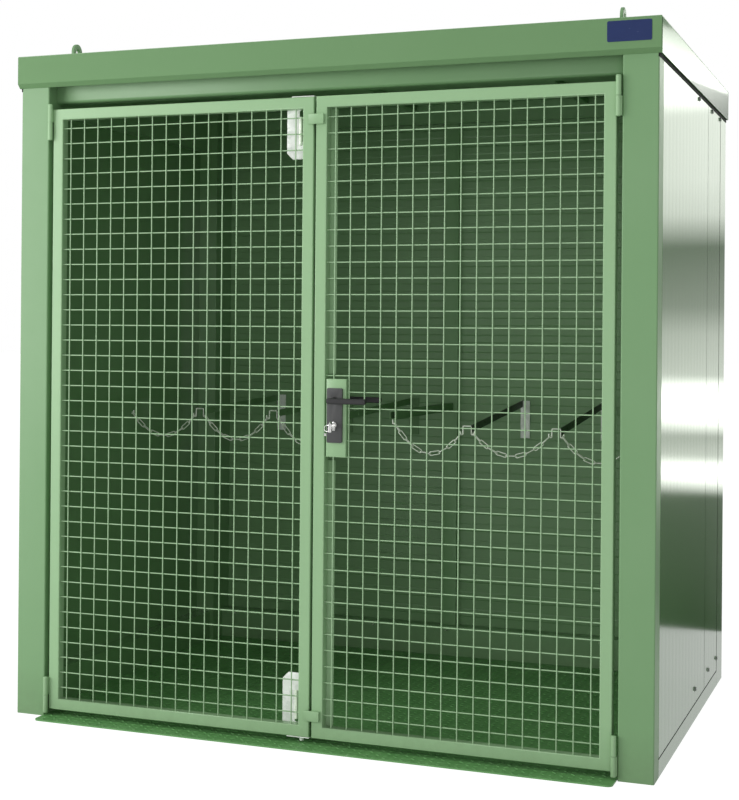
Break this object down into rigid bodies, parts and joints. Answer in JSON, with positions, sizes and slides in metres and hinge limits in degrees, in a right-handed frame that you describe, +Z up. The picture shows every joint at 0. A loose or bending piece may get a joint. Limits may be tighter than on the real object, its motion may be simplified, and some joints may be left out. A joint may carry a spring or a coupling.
{
  "type": "gas cylinder container",
  "caption": "Lockable steel cabin for gas cylinders, with two doors of welded mesh, a tread plate floor and racks with chains inside.",
  "frame": {"origin": "bottom centre of the container, on the ground", "axes": "+Z up, +Y from the doors to the rear wall, +X to the right as seen from the front"},
  "size_m": [2.116, 1.63, 2.2489],
  "materials": {
    "green_paint": "satin green powder coat",
    "wall_sheet": "glossy green coil coating",
    "tread_plate": "green paint on tread plate",
    "zinc": "bright zinc plating",
    "dark_steel": "black paint",
    "grey_plastic": "dark grey moulded plastic",
    "black_plastic": "black moulded plastic",
    "nickel": "nickel plated"
  },
  "bodies": {
    "cabin": {"floor_plate": "tread_plate", "base_rails_side": "green_paint", "base_rail_rear": "green_paint", "front_post_left": "green_paint", "front_post_right": "green_paint", "rear_post_left": "green_paint", "rear_post_right": "green_paint", "rear_post_centre": "green_paint", "lintel": "green_paint", "top_rails_side": "green_paint", "top_rail_rear": "green_paint", "side_wall_left": "wall_sheet", "side_wall_right": "wall_sheet", "rear_wall": "wall_sheet", "roof_panel": "green_paint", "fascia_front": "green_paint", "fascia_rear": "green_paint", "fascias_side": "green_paint", "roof_ribs": "green_paint", "lifting_lugs": "green_paint", "hinge_sockets": "green_paint", "chain_arms": "dark_steel", "arm_brackets": "zinc", "centre_rail": "green_paint", "chain_hooks": "zinc", "chain_left": "zinc", "chain_right": "zinc"},
    "left_leaf": {"left_hinge_stile": "green_paint", "left_meeting_stile": "green_paint", "left_bottom_rail": "green_paint", "left_top_rail": "green_paint", "left_mesh_lower": "green_paint", "left_mesh_upper": "green_paint", "hinge_barrels_left": "green_paint", "rebate_strip": "green_paint", "bolt_plate_top": "zinc", "bolt_plate_bottom": "zinc"},
    "right_leaf": {"right_hinge_stile": "green_paint", "right_meeting_stile": "green_paint", "right_bottom_rail": "green_paint", "right_top_rail": "green_paint", "right_mesh_lower": "green_paint", "right_mesh_upper": "green_paint", "hinge_barrels_right": "green_paint", "stop_tabs": "green_paint", "lock_box": "green_paint", "handle_plates": "grey_plastic", "lock_cylinder": "nickel"},
    "lever": {"lever_handle": "black_plastic"}
  },
  "joints": [
    {"name": "right_leaf_hinge", "type": "hinge", "parent": "cabin", "child": "right_leaf", "pos_m": [0.936, -0.752, 1], "axis": [0, 0, 1], "range_deg": [0, 170]},
    {"name": "left_leaf_hinge", "type": "hinge", "parent": "cabin", "child": "left_leaf", "pos_m": [-0.936, -0.752, 1], "axis": [0, 0, -1], "range_deg": [0, 150]},
    {"name": "lever_turn", "type": "hinge", "parent": "right_leaf", "child": "lever", "pos_m": [0.075, -0.725, 1.071], "axis": [0, 1, 0], "range_deg": [0, 40], "stiffness_Nm_per_rad": 1.5}
  ],
  "couplings": [
    {"joint": "left_leaf_hinge", "follows": "right_leaf_hinge", "ratio": 0.88}
  ]
}
